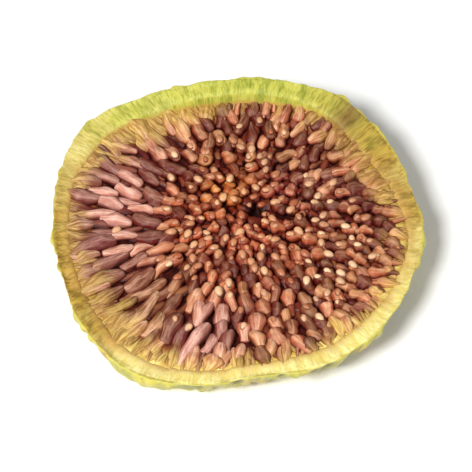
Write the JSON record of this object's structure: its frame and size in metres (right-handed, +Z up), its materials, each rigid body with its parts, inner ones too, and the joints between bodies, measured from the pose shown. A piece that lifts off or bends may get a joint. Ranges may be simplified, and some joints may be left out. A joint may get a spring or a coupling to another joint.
{
  "type": "dried fig slice",
  "caption": "Round dried slice of a green fig, cut across: a wavy ring of pale green rind around red-brown pulp covered with florets and seeds.",
  "frame": {"origin": "on the surface that the slice lies on, under the middle of its box", "axes": "+Z up out of the wider cut face, +X across the slice to the right as the picture shows it, +Y away from the viewer, to the side whose rim has curled up"},
  "size_m": [0.0381, 0.0375, 0.0073],
  "materials": {
    "rind": "satin",
    "pulp": "satin"
  },
  "bodies": {
    "root": {"rind": "rind", "pulp_and_seeds": "pulp"}
  },
  "joints": []
}
